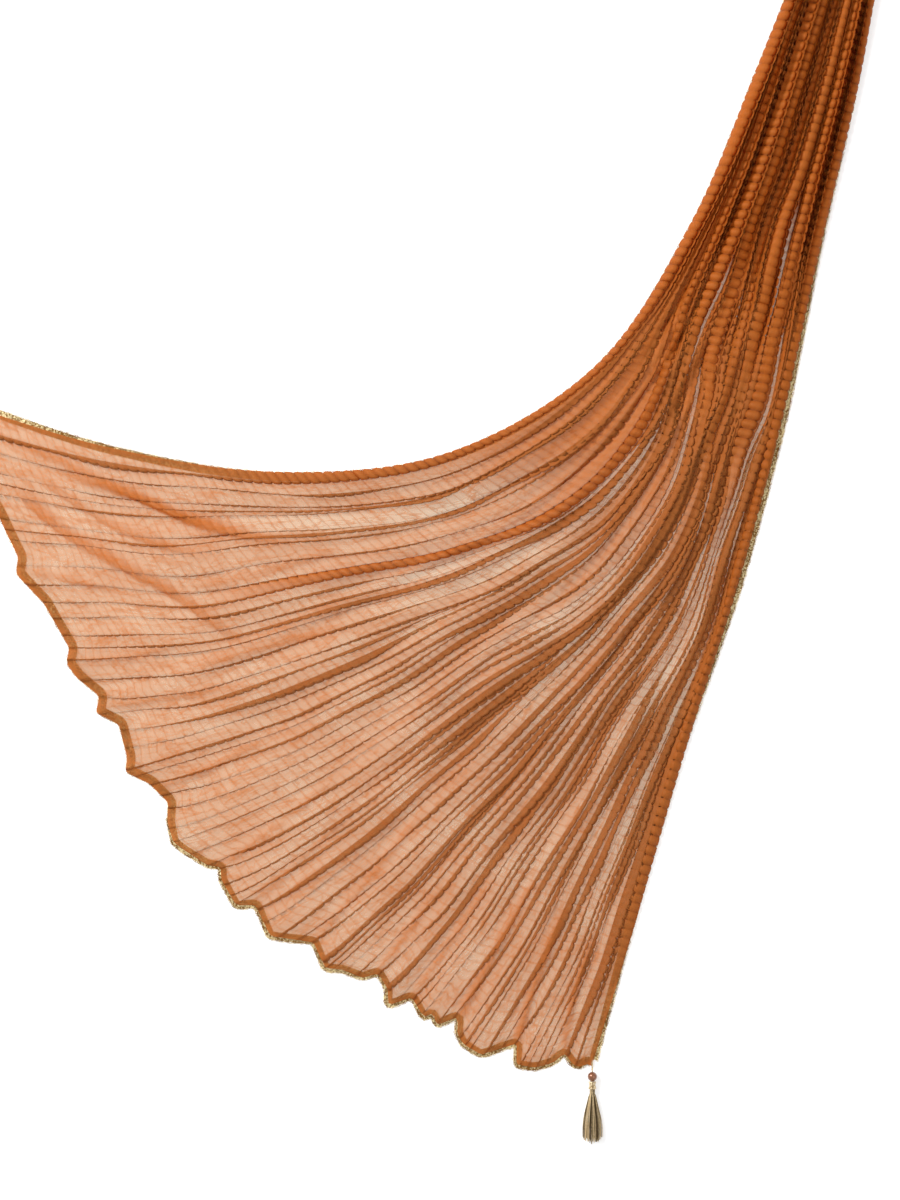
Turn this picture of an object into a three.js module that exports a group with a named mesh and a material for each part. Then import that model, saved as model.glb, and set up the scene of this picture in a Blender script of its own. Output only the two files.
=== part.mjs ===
// Dupatta stole of crinkled chiffon, laid flat: its hem is spread into a fan, the cloth runs
// together into a rolled neck, and the far half lies straight on, gathered.
// Millimetres, +Z up. X and Y lie on the surface it rests on, and the cloth's length runs
// mostly along +Y, from the spread hem to the far hem.
import * as THREE from 'three';

// Driving sizes
const WALL = 1.5; // standing thickness of the crinkled cloth
const GAP = 0.3; // clearance between neighbouring pieces
const SECTION_STEP = 162.5; // cloth length between two rows of SECTIONS
const TAPE_WIDTH = 8;
const TAPE_THICKNESS = 1;
const TAPE_START = 15; // where an edge tape starts, clear of the hem tape
const MARGIN_LIFT = TAPE_THICKNESS + GAP; // the cloth's margins lie on their tape
const MARGIN_WIDEST = 18;
const MARGIN_NARROWEST = 10;
const MARGIN_SHARE = 0.18; // of the section's width, between those two limits
const SCALLOP_FADE = 100; // distance from a hem over which its scallops die out
const HEM_MARGIN = 16;
const VALLEY = 5; // depth of cloth left between two rolls of the neck
const VALLEY_FADE = 0.06; // share of the width over which the bundle's sides go down
const FAR_SCALLOP = 5; // how far the gathered far hem waves in and out
const BEAD_RADIUS = 4.5;
const CAP_RADIUS = 4;
const CAP_LENGTH = 7;
const SKIRT_LENGTH = 52;
const SKIRT_NECK_RADIUS = 3;
const SKIRT_RADIUS = 10;
const SKIRT_FLATNESS = 0.42; // height over width of a skirt that lies on its side

// Sections across the cloth, SECTION_STEP apart, from the spread hem to the far hem. left,
// middle and right are points of the section; fold is the height of its pleats; gather runs
// from 0, one layer, to 1, a bundle; edgeRoll is the height of the rolled left edge;
// leftTape and rightTape are how far the tape shows past the edge, or lies back under it.
const SECTIONS = [
  { left: [-480, 192], middle: [-230, -252], right: [135, -441],
    fold: 3.0, gather: 0.0, edgeRoll: 0, leftTape: 6, rightTape: 4 },
  { left: [-324, 145], middle: [-109, -146], right: [180, -293],
    fold: 3.5, gather: 0.0, edgeRoll: 1, leftTape: 3, rightTape: -1 },
  { left: [-163, 122], middle: [11, -40], right: [225, -139],
    fold: 5.0, gather: 0.0, edgeRoll: 4, leftTape: -1, rightTape: 3 },
  { left: [-3, 140], middle: [130, 62], right: [274, 15],
    fold: 6.5, gather: 0.1, edgeRoll: 6, leftTape: -1, rightTape: 4 },
  { left: [137, 222], middle: [222, 197], right: [316, 172],
    fold: 7.0, gather: 0.4, edgeRoll: 7, leftTape: -1, rightTape: 4 },
  { left: [227, 356], middle: [285, 343], right: [351, 330],
    fold: 7.0, gather: 0.9, edgeRoll: 6, leftTape: -1, rightTape: 1 },
  { left: [291, 506], middle: [338, 496], right: [388, 488],
    fold: 7.0, gather: 1.0, edgeRoll: 4, leftTape: -1, rightTape: -1 },
  { left: [350, 658], middle: [383, 650], right: [417, 642],
    fold: 7.0, gather: 1.0, edgeRoll: 4, leftTape: -1, rightTape: -1 },
  { left: [402, 812], middle: [429, 804], right: [456, 796],
    fold: 7.0, gather: 1.0, edgeRoll: 4, leftTape: -1, rightTape: -1 },
  { left: [447, 968], middle: [476, 959], right: [505, 950],
    fold: 7.0, gather: 1.0, edgeRoll: 4, leftTape: -1, rightTape: -1 },
  { left: [489, 1126], middle: [525, 1115], right: [561, 1104],
    fold: 7.0, gather: 1.0, edgeRoll: 4, leftTape: -1, rightTape: -1 },
  { left: [526, 1286], middle: [574, 1271], right: [622, 1256],
    fold: 7.0, gather: 0.9, edgeRoll: 3, leftTape: 1, rightTape: 1 },
  { left: [559, 1446], middle: [623, 1426], right: [687, 1406],
    fold: 7.0, gather: 0.6, edgeRoll: 1, leftTape: 4, rightTape: 4 },
  { left: [588, 1608], middle: [672, 1582], right: [756, 1556],
    fold: 6.5, gather: 0.2, edgeRoll: 0, leftTape: 5, rightTape: 5 },
  { left: [611, 1771], middle: [720, 1737], right: [829, 1703],
    fold: 6.0, gather: 0.0, edgeRoll: 0, leftTape: 5, rightTape: 5 },
  { left: [632, 1935], middle: [769, 1892], right: [906, 1849],
    fold: 5.0, gather: 0.0, edgeRoll: 0, leftTape: 5, rightTape: 5 },
];

// Points of the spread hem, one row for each pleat that ends there, by share of the width.
// dip is where a pleat starts and back how far the hem stands out there; tip and reach are
// the same for its point.
const PLEATS = [
  { dip: 0.0, back: 0, tip: 0.055, reach: -2 },
  { dip: 0.1, back: -10, tip: 0.157, reach: -2 },
  { dip: 0.21, back: -17, tip: 0.25, reach: -6 },
  { dip: 0.288, back: -17, tip: 0.305, reach: -6 },
  { dip: 0.327, back: -19, tip: 0.371, reach: 3 },
  { dip: 0.42, back: -12, tip: 0.456, reach: 8 },
  { dip: 0.511, back: -8, tip: 0.553, reach: 8 },
  { dip: 0.572, back: -4, tip: 0.603, reach: 9 },
  { dip: 0.645, back: -10, tip: 0.674, reach: 3 },
  { dip: 0.727, back: -17, tip: 0.757, reach: 4 },
  { dip: 0.777, back: -12, tip: 0.803, reach: 0 },
  { dip: 0.834, back: -12, tip: 0.872, reach: 14 },
  { dip: 0.908, back: -5, tip: 0.928, reach: 14 },
  { dip: 0.966, back: -7, tip: 0.985, reach: 3 },
];

// Rolls of the gathered neck, from the left edge on: share of the width where each ends
const ROLLS = [
  { to: 0.21, height: 15 },
  { to: 0.33, height: 14 },
  { to: 0.5, height: 17 },
  { to: 0.62, height: 11 },
  { to: 0.76, height: 18 },
  { to: 0.88, height: 15 },
  { to: 1.0, height: 10 },
];

// How far the hem tape shows past the spread hem, by share of the width
const HEM_TAPE = [
  { at: 0.0, shows: 0 },
  { at: 0.42, shows: 0 },
  { at: 0.47, shows: 4 },
  { at: 0.97, shows: 4 },
  { at: 1.0, shows: 1 },
];

// Stretches of the one cloth, in cloth length from the spread hem
const STRETCHES = [
  { name: 'cloth_spread_hem', from: 0, to: 390, rows: 9 },
  { name: 'cloth_fan', from: 390, to: 750, rows: 6 },
  { name: 'cloth_neck', from: 750, to: 1180, rows: 6 },
  { name: 'cloth_far_half', from: 1180, to: (SECTIONS.length - 1) * SECTION_STEP, rows: 13 },
];
const LENGTH = (SECTIONS.length - 1) * SECTION_STEP;

// Tassels: where each bead lies, and which way its threads lie on the surface
const TASSELS = [
  { name: 'spread_right', bead: [135, -452], way: [0, -1] },
  { name: 'spread_left', bead: [-489, 191], way: [-0.8, -0.6] },
  { name: 'far_left', bead: [628, 1946], way: [0.3, 0.954] },
  { name: 'far_right', bead: [915, 1856], way: [0.3, 0.954] },
];

const CHIFFON = { color: 0xbe6e2d, roughness: 0.8, metalness: 0 };
const GOLD_TAPE = { color: 0xb08a3c, roughness: 0.35, metalness: 0.8 };
const THREAD = { color: 0x9c8642, roughness: 0.6, metalness: 0.2 };
const PEARL = { color: 0x8a4520, roughness: 0.25, metalness: 0.3 };

const lerp = THREE.MathUtils.lerp;
const clamp = THREE.MathUtils.clamp;

// A smooth curve through evenly spaced values, straight on past both ends
function through(values, place) {
  const last = values.length - 1;
  if (place <= 0) return values[0] + (values[1] - values[0]) * place;
  if (place >= last) return values[last] + (values[last] - values[last - 1]) * (place - last);
  const i = Math.floor(place);
  const t = place - i;
  const before = i > 0 ? values[i - 1] : 2 * values[0] - values[1];
  const after = i + 2 <= last ? values[i + 2] : 2 * values[last] - values[last - 1];
  const slopeIn = (values[i + 1] - before) / 2;
  const slopeOut = (after - values[i]) / 2;
  const rise = values[i + 1] - values[i];
  const bend = 3 * rise - 2 * slopeIn - slopeOut;
  const twist = slopeIn + slopeOut - 2 * rise;
  return values[i] + t * (slopeIn + t * (bend + t * twist));
}

// One column of SECTIONS at a cloth length, smooth for points and straight for sizes
function sectionPoint(name, along) {
  const place = along / SECTION_STEP;
  return [0, 1].map((axis) => through(SECTIONS.map((row) => row[name][axis]), place));
}

function sectionSize(name, along) {
  const place = clamp(along / SECTION_STEP, 0, SECTIONS.length - 1);
  const i = Math.min(Math.floor(place), SECTIONS.length - 2);
  return lerp(SECTIONS[i][name], SECTIONS[i + 1][name], place - i);
}

// A table's column read between its rows
function between(table, at, value, share) {
  const next = table.findIndex((row) => row[at] >= share);
  if (next <= 0) return table[0][value];
  const low = table[next - 1];
  const high = table[next];
  return lerp(low[value], high[value], (share - low[at]) / (high[at] - low[at]));
}

// The point of the surface at a cloth length and a share of the width
function ground(along, share) {
  const [left, middle, right] = ['left', 'middle', 'right'].map((n) => sectionPoint(n, along));
  const parts = [(1 - share) * (1 - 2 * share), 4 * share * (1 - share), share * (2 * share - 1)];
  return [0, 1].map((i) => parts[0] * left[i] + parts[1] * middle[i] + parts[2] * right[i]);
}

function widthAt(along) {
  const left = sectionPoint('left', along);
  const right = sectionPoint('right', along);
  return Math.hypot(right[0] - left[0], right[1] - left[1]);
}

function marginShare(along) {
  const width = widthAt(along);
  return clamp(MARGIN_SHARE * width, MARGIN_NARROWEST, MARGIN_WIDEST) / width;
}

// Columns across the cloth: the margins' own, at parts of the margin, then the pleats'
const MARGIN_COLUMNS = [
  { part: 0, roll: 0 },
  { part: 0.2, roll: 0.8 },
  { part: 0.6, roll: 1 },
];

function pleatColumns(sparse) {
  const columns = [];
  PLEATS.forEach((pleat, i) => {
    const next = PLEATS[i + 1] ?? { dip: 1, back: 2 };
    columns.push({ share: pleat.dip, out: pleat.back, ridge: 0 });
    if (!sparse) {
      const share = lerp(pleat.dip, pleat.tip, 0.5);
      columns.push({ share, out: lerp(pleat.back, pleat.reach, 0.45), ridge: 0 });
    }
    columns.push({ share: pleat.tip, out: pleat.reach, ridge: 1 });
    if (!sparse) {
      const share = lerp(pleat.tip, next.dip, 0.5);
      columns.push({ share, out: lerp(pleat.reach, next.back, 0.55), ridge: 0.9 });
    }
  });
  columns.push({ share: 1, out: 2, ridge: 0 });
  return columns;
}

// A pleat column's share, drawn in from both edges so that the margins have room
function drawnIn(share, margin) {
  const power = Math.min(4, 0.4 / margin);
  const fromLeft = share < 0.5 ? margin * (1 - 2 * share) ** power : 0;
  const fromRight = share > 0.5 ? margin * (2 * share - 1) ** power : 0;
  return share + fromLeft - fromRight;
}

function columnsOf(sparse) {
  const pleats = pleatColumns(sparse);
  const left = MARGIN_COLUMNS.map((m) => ({ ...m, side: 'left', out: pleats[0].out }));
  const right = MARGIN_COLUMNS.map((m) => ({ ...m, side: 'right', out: pleats.at(-1).out }));
  return [...left, ...pleats, ...right.reverse()];
}

function columnShare(column, margin) {
  if (column.side === 'left') return margin * column.part;
  if (column.side === 'right') return 1 - margin * column.part;
  return drawnIn(column.share, margin);
}

// Height of the rolled bundle's top at a share of the width
function rollHeight(share) {
  const i = ROLLS.findIndex((roll) => share <= roll.to);
  const from = i > 0 ? ROLLS[i - 1].to : 0;
  const across = (2 * (share - from)) / (ROLLS[i].to - from) - 1;
  const sides = clamp(Math.min(share, 1 - share) / VALLEY_FADE, 0.6, 1);
  const valley = VALLEY * sides;
  return valley + (ROLLS[i].height - valley) * Math.sqrt(Math.max(0, 1 - across * across));
}

// Where a column meets a row: cloth length, share of the width, lower and upper height
function clothPoint(along, column) {
  const nearHem = Math.max(0, 1 - along / SCALLOP_FADE);
  const nearFar = Math.max(0, 1 - (LENGTH - along) / SCALLOP_FADE);
  const wave = column.ridge ? FAR_SCALLOP : 0;
  const reached = along - column.out * nearHem + wave * nearFar;
  const margin = marginShare(along);
  const share = columnShare(column, margin);
  const gather = sectionSize('gather', along);
  const onMargin = column.side !== undefined || share <= margin || share >= 1 - margin;
  const onHem = along < HEM_MARGIN + 1 || LENGTH - along < HEM_MARGIN + 1;
  const edgeRoll = column.side === 'left' ? sectionSize('edgeRoll', along) * column.roll : 0;
  const rest = onMargin || onHem ? MARGIN_LIFT : 0;
  const fold = column.side ? edgeRoll : column.ridge * sectionSize('fold', along);
  const lower = rest + lerp(fold, 0, gather);
  const upper = lerp(rest + fold + WALL, Math.max(rollHeight(share), rest + WALL), gather);
  const [x, y] = ground(reached, share);
  return { lower: [x, y, lower], upper: [x, y, Math.max(upper, lower + WALL)] };
}

// A closed shell between two grids of points with the same rows and columns
function closedShell(lower, upper) {
  const rows = lower.length;
  const count = lower[0].length;
  const vertices = [...lower, ...upper].flat().flat();
  const low = (i, j) => i * count + j;
  const high = (i, j) => (rows + i) * count + j;
  const faces = [];
  const quad = (a, b, c, d) => faces.push(a, b, c, a, c, d);
  for (let i = 0; i < rows - 1; i += 1) {
    for (let j = 0; j < count - 1; j += 1) {
      quad(high(i, j), high(i, j + 1), high(i + 1, j + 1), high(i + 1, j));
      quad(low(i, j), low(i + 1, j), low(i + 1, j + 1), low(i, j + 1));
    }
    quad(low(i, 0), high(i, 0), high(i + 1, 0), low(i + 1, 0));
    quad(low(i, count - 1), low(i + 1, count - 1), high(i + 1, count - 1), high(i, count - 1));
  }
  for (let j = 0; j < count - 1; j += 1) {
    quad(low(0, j), low(0, j + 1), high(0, j + 1), high(0, j));
    quad(low(rows - 1, j), high(rows - 1, j), high(rows - 1, j + 1), low(rows - 1, j + 1));
  }
  const geometry = new THREE.BufferGeometry();
  geometry.setAttribute('position', new THREE.Float32BufferAttribute(vertices, 3));
  geometry.setIndex(faces);
  geometry.computeVertexNormals();
  return geometry;
}

function part(name, geometry, finish) {
  const mesh = new THREE.Mesh(geometry, new THREE.MeshStandardMaterial(finish));
  mesh.name = name;
  return mesh;
}

// One stretch of the cloth, a half gap short at each end that another stretch carries on.
// A stretch that ends in a hem has an extra row there, for the margin over the hem tape.
function clothStretch(stretch) {
  const first = stretch.from === 0;
  const last = stretch.to === LENGTH;
  const from = stretch.from + (first ? 0 : GAP / 2);
  const to = stretch.to - (last ? 0 : GAP / 2);
  const alongs = [];
  const start = first ? 2 * HEM_MARGIN : from;
  const end = last ? to - 2 * HEM_MARGIN : to;
  if (first) alongs.push(0, HEM_MARGIN);
  for (let i = 0; i <= stretch.rows; i += 1) alongs.push(lerp(start, end, i / stretch.rows));
  if (last) alongs.push(to - HEM_MARGIN, to);
  const columns = columnsOf(last);
  const grid = alongs.map((along) => columns.map((column) => clothPoint(along, column)));
  const lower = grid.map((row) => row.map((point) => point.lower));
  const upper = grid.map((row) => row.map((point) => point.upper));
  return part(stretch.name, closedShell(lower, upper), CHIFFON);
}

// A flat tape through pairs of points, its outer and inner side
function tape(name, outer, inner) {
  const at = (z) => outer.map((point, i) => [[...point, z], [...inner[i], z]]);
  return part(name, closedShell(at(0), at(TAPE_THICKNESS)), GOLD_TAPE);
}

// The tape of one long edge. shows is how far it stands out past the edge.
function edgeTape(name, side) {
  const steps = 36;
  const outer = [];
  const inner = [];
  for (let i = 0; i <= steps; i += 1) {
    const along = lerp(TAPE_START, LENGTH - TAPE_START, i / steps);
    const width = widthAt(along);
    const shows = sectionSize(`${side}Tape`, along) / width;
    const far = TAPE_WIDTH / width - shows;
    outer.push(ground(along, side === 'left' ? -shows : 1 + shows));
    inner.push(ground(along, side === 'left' ? far : 1 - far));
  }
  if (side === 'left') return tape(name, outer, inner);
  return tape(name, inner, outer);
}

// The tape of the spread hem or of the far hem, along the cloth's own columns
function hemTape(name, far) {
  const outer = [];
  const inner = [];
  const columns = columnsOf(far);
  for (const column of columns) {
    const margin = marginShare(far ? LENGTH : 0);
    const share = columnShare(column, margin);
    const shows = far ? 4 : between(HEM_TAPE, 'at', 'shows', share);
    const reach = far ? (column.ridge ? FAR_SCALLOP : 0) : column.out;
    const edge = reach + shows;
    const outerAlong = far ? LENGTH + edge : -edge;
    const innerAlong = far ? outerAlong - TAPE_WIDTH : outerAlong + TAPE_WIDTH;
    outer.push(ground(outerAlong, share));
    inner.push(ground(innerAlong, share));
  }
  if (far) return tape(name, outer, inner);
  return tape(name, inner, outer);
}

// A tassel on its side: bead, metal cap, and a skirt of threads with a bound neck
function tassel({ name, bead, way }) {
  const group = new THREE.Group();
  group.position.set(bead[0], bead[1], BEAD_RADIUS);
  group.rotation.z = Math.atan2(way[1], way[0]);
  const pearl = part(`bead_${name}`, new THREE.SphereGeometry(BEAD_RADIUS, 10, 7), PEARL);
  const capStart = BEAD_RADIUS + GAP;
  const capEnd = capStart + CAP_LENGTH;
  const cap = lathe(`cap_${name}`, GOLD_TAPE, 8, [
    [0, capStart], [CAP_RADIUS * 0.7, capStart], [CAP_RADIUS, capStart + 2],
    [CAP_RADIUS * 0.9, capEnd], [0, capEnd],
  ]);
  const neck = capEnd + GAP;
  const skirt = lathe(`skirt_${name}`, THREAD, 10, [
    [0, neck], [SKIRT_NECK_RADIUS, neck], [SKIRT_NECK_RADIUS, neck + 8],
    [SKIRT_RADIUS * 0.72, neck + SKIRT_LENGTH * 0.45], [SKIRT_RADIUS, neck + SKIRT_LENGTH * 0.8],
    [SKIRT_RADIUS * 0.8, neck + SKIRT_LENGTH], [0, neck + SKIRT_LENGTH],
  ]);
  skirt.scale.z = SKIRT_FLATNESS;
  group.add(pearl, cap, skirt);
  return group;
}

// A piece turned about the tassel's length, its profile given as radius and place
function lathe(name, finish, sides, profile) {
  const points = profile.map(([radius, place]) => new THREE.Vector2(radius, place));
  const geometry = new THREE.LatheGeometry(points, sides);
  geometry.rotateZ(-Math.PI / 2);
  return part(name, geometry, finish);
}

const dupatta = new THREE.Group();
dupatta.add(...STRETCHES.map(clothStretch));
dupatta.add(edgeTape('tape_left_edge', 'left'), edgeTape('tape_right_edge', 'right'));
dupatta.add(hemTape('tape_spread_hem', false), hemTape('tape_far_hem', true));
dupatta.add(...TASSELS.map(tassel));

// The origin is under the middle of the whole stole, on the surface that it lies on
dupatta.updateMatrixWorld(true);
const middle = new THREE.Box3().setFromObject(dupatta, true).getCenter(new THREE.Vector3());
dupatta.position.set(-middle.x, -middle.y, 0);

export default dupatta;
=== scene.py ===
"""Dupatta stole of crinkled chiffon, laid flat, with gold lace edging and corner tassels."""

import math

import bmesh
import bpy
import numpy as np
from bpy.props import FloatProperty, FloatVectorProperty, IntProperty, PointerProperty
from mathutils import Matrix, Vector


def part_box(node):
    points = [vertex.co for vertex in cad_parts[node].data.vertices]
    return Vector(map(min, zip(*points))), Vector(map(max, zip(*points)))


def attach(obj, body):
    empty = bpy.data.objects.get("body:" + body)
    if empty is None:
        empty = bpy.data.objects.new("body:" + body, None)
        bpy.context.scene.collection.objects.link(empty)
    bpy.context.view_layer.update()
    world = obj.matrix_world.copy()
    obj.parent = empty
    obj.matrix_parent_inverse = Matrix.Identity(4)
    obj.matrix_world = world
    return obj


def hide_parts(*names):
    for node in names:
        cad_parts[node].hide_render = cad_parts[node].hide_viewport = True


bl_info = {
    "name": "Crinkled Dupatta",
    "version": (1, 0, 0),
    "blender": (4, 5, 0),
    "location": "View3D > Sidebar > Dupatta",
    "description": "Builds a crinkled chiffon dupatta with lace edging and tassels",
    "category": "Add Mesh",
}

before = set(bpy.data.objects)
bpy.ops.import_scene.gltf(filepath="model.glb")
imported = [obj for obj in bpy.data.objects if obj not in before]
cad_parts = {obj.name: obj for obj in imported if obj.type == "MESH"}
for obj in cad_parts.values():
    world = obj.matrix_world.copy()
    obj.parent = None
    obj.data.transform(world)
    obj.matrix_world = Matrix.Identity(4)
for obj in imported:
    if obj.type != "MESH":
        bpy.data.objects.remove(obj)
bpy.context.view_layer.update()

# Sizes in millimetres, in the cutting layout's own axes. The layout is moved on to the
# frame by one bead, whose place is known in both.
MM = 0.001
SECTION_STEP = 162.5
LENGTH = 2437.5
CUT_WIDTH = 1000.0
LAYOUT_BEAD = (135.0, -452.0)
CRINKLE = 9.4
TAPE_WIDTH = 8.0
VALLEY = 7.0
VALLEY_FADE = 0.06
SCALLOP_FADE = 100.0
FAR_SCALLOP = 5.0
PLEAT_COUNT = 64
SEED = 11

# Sections across the cloth, SECTION_STEP apart, from the spread hem to the far hem
SECTIONS = [
    {"left": (-480, 192), "middle": (-230, -252), "right": (135, -441), "fold": 3.0, "gather": 0.0},
    {"left": (-324, 145), "middle": (-109, -146), "right": (180, -293), "fold": 3.5, "gather": 0.0},
    {"left": (-163, 122), "middle": (11, -40), "right": (225, -139), "fold": 5.0, "gather": 0.0},
    {"left": (-3, 140), "middle": (130, 62), "right": (274, 15), "fold": 6.5, "gather": 0.1},
    {"left": (137, 222), "middle": (222, 197), "right": (316, 172), "fold": 7.0, "gather": 0.4},
    {"left": (227, 356), "middle": (285, 343), "right": (351, 330), "fold": 7.0, "gather": 0.9},
    {"left": (291, 506), "middle": (338, 496), "right": (388, 488), "fold": 7.0, "gather": 1.0},
    {"left": (350, 658), "middle": (383, 650), "right": (417, 642), "fold": 7.0, "gather": 1.0},
    {"left": (402, 812), "middle": (429, 804), "right": (456, 796), "fold": 7.0, "gather": 1.0},
    {"left": (447, 968), "middle": (476, 959), "right": (505, 950), "fold": 7.0, "gather": 1.0},
    {"left": (489, 1126), "middle": (525, 1115), "right": (561, 1104), "fold": 7.0, "gather": 1.0},
    {"left": (526, 1286), "middle": (574, 1271), "right": (622, 1256), "fold": 7.0, "gather": 0.9},
    {"left": (559, 1446), "middle": (623, 1426), "right": (687, 1406), "fold": 7.0, "gather": 0.6},
    {"left": (588, 1608), "middle": (672, 1582), "right": (756, 1556), "fold": 6.5, "gather": 0.2},
    {"left": (611, 1771), "middle": (720, 1737), "right": (829, 1703), "fold": 6.0, "gather": 0.0},
    {"left": (632, 1935), "middle": (769, 1892), "right": (906, 1849), "fold": 5.0, "gather": 0.0},
]

# Outline of the spread hem: how far it stands out, by share of the width
HEM = [
    {"at": 0.0, "out": 0}, {"at": 0.055, "out": -2}, {"at": 0.1, "out": -10},
    {"at": 0.142, "out": -12}, {"at": 0.157, "out": -2}, {"at": 0.188, "out": -15},
    {"at": 0.236, "out": -17}, {"at": 0.25, "out": -6}, {"at": 0.266, "out": -8},
    {"at": 0.291, "out": -18}, {"at": 0.305, "out": -6}, {"at": 0.325, "out": -19},
    {"at": 0.359, "out": -7}, {"at": 0.371, "out": 3}, {"at": 0.393, "out": -9},
    {"at": 0.421, "out": -12}, {"at": 0.436, "out": 0}, {"at": 0.458, "out": 9},
    {"at": 0.5, "out": 0}, {"at": 0.511, "out": -8}, {"at": 0.52, "out": 0},
    {"at": 0.553, "out": 8}, {"at": 0.567, "out": -4}, {"at": 0.603, "out": 9},
    {"at": 0.622, "out": 0}, {"at": 0.645, "out": -10}, {"at": 0.674, "out": 3},
    {"at": 0.69, "out": -4}, {"at": 0.716, "out": -7}, {"at": 0.727, "out": -18},
    {"at": 0.748, "out": -9}, {"at": 0.757, "out": 4}, {"at": 0.776, "out": -12},
    {"at": 0.801, "out": 0}, {"at": 0.806, "out": -8}, {"at": 0.818, "out": 2},
    {"at": 0.836, "out": -13}, {"at": 0.842, "out": 2}, {"at": 0.855, "out": 10},
    {"at": 0.878, "out": 14}, {"at": 0.912, "out": -6}, {"at": 0.918, "out": 14},
    {"at": 0.94, "out": 13}, {"at": 0.958, "out": 5}, {"at": 0.966, "out": -7},
    {"at": 0.978, "out": 2}, {"at": 0.988, "out": 5}, {"at": 0.993, "out": -1},
    {"at": 1.0, "out": 2},
]

# The large folds of the fan, by share of the width: where each starts and where its crest is
FOLDS = [
    {"dip": 0.0, "tip": 0.055}, {"dip": 0.1, "tip": 0.157}, {"dip": 0.21, "tip": 0.25},
    {"dip": 0.288, "tip": 0.305}, {"dip": 0.327, "tip": 0.371}, {"dip": 0.42, "tip": 0.456},
    {"dip": 0.511, "tip": 0.553}, {"dip": 0.572, "tip": 0.603}, {"dip": 0.645, "tip": 0.674},
    {"dip": 0.727, "tip": 0.757}, {"dip": 0.777, "tip": 0.803}, {"dip": 0.834, "tip": 0.872},
    {"dip": 0.908, "tip": 0.928}, {"dip": 0.966, "tip": 0.985},
]

# The bundle's own outline in the neck: share of the width where each swell ends
SWELLS = [
    {"to": 0.21, "height": 15}, {"to": 0.33, "height": 14}, {"to": 0.5, "height": 17},
    {"to": 0.62, "height": 11}, {"to": 0.76, "height": 18}, {"to": 0.88, "height": 15},
    {"to": 1.0, "height": 10},
]

# Rolled pleats of the neck: where each lies across it, how high it stands on the bundle,
# how strongly the crinkle cuts it into beads, and the cloth length where it opens out
ROLLS = [
    {"start": 0.0, "end": 0.13, "height": 4.5, "beads": 0.9, "opens": 215, "most": 13},
    {"start": 0.135, "end": 0.2, "height": 5.0, "beads": 1.0, "opens": 150, "most": 11},
    {"start": 0.265, "end": 0.375, "height": 5.0, "beads": 1.0, "opens": 600, "most": 16},
    {"start": 0.385, "end": 0.485, "height": 4.5, "beads": 1.0, "opens": 570, "most": 17},
    {"start": 0.53, "end": 0.59, "height": 3.5, "beads": 0.8, "opens": 520, "most": 13},
    {"start": 0.625, "end": 0.735, "height": 4.5, "beads": 0.5, "opens": 560, "most": 15},
    {"start": 0.74, "end": 0.82, "height": 4.5, "beads": 1.0, "opens": 480, "most": 16},
    {"start": 0.91, "end": 1.0, "height": 3.5, "beads": 0.7, "opens": 40, "most": 11},
]

# Soft creases laid one by one over the flat cloth: points (cloth length, share of the width),
# height, width of the gentle side and the extra layers folded into it
CREASES = [
    {"path": [(80, 0.045), (159, 0.065), (211, 0.107), (289, 0.168)],
     "height": 4.0, "width": 5.5, "layers": 1.7},
    {"path": [(45, 0.025), (114, 0.04), (173, 0.077), (254, 0.152)],
     "height": 3.0, "width": 4.0, "layers": 1.0},
    {"path": [(29, 0.062), (67, 0.115), (109, 0.158), (146, 0.212), (184, 0.34)],
     "height": 3.5, "width": 6.5, "layers": 1.2},
    {"path": [(60, 0.05), (104, 0.09), (150, 0.13), (215, 0.17)],
     "height": 2.5, "width": 5.0, "layers": 0.8},
    {"path": [(150, 0.2), (233, 0.205), (330, 0.2)],
     "height": 2.5, "width": 4.0, "layers": 1.0},
    {"path": [(111, 0.302), (182, 0.315), (268, 0.345)],
     "height": 2.2, "width": 4.0, "layers": 0.9},
    {"path": [(3, 0.155), (50, 0.168), (95, 0.19)],
     "height": 2.5, "width": 3.5, "layers": 0.7},
    {"path": [(6, 0.25), (60, 0.262), (120, 0.27)],
     "height": 2.5, "width": 3.5, "layers": 0.7},
    {"path": [(8, 0.302), (70, 0.32), (150, 0.35)],
     "height": 2.5, "width": 3.0, "layers": 0.8},
    {"path": [(4, 0.4), (60, 0.415), (140, 0.43)],
     "height": 2.5, "width": 3.5, "layers": 0.7},
    {"path": [(6, 0.511), (70, 0.52), (170, 0.53)],
     "height": 2.5, "width": 3.0, "layers": 0.8},
    {"path": [(5, 0.567), (60, 0.57), (150, 0.575)],
     "height": 2.0, "width": 3.0, "layers": 0.7},
    {"path": [(4, 0.645), (80, 0.65), (200, 0.655)],
     "height": 2.5, "width": 3.5, "layers": 0.9},
    {"path": [(6, 0.727), (60, 0.73), (130, 0.735)],
     "height": 2.5, "width": 3.0, "layers": 0.9},
    {"path": [(3, 0.776), (80, 0.785), (160, 0.79)],
     "height": 2.5, "width": 3.0, "layers": 0.9},
    {"path": [(3, 0.836), (70, 0.84), (180, 0.845)],
     "height": 3.0, "width": 3.5, "layers": 1.4},
    {"path": [(2, 0.912), (60, 0.905), (160, 0.9)],
     "height": 3.5, "width": 4.0, "layers": 2.0},
    {"path": [(3, 0.968), (60, 0.955), (140, 0.95)],
     "height": 3.0, "width": 3.0, "layers": 2.0},
]
CREASE_BACK = 0.35

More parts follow.
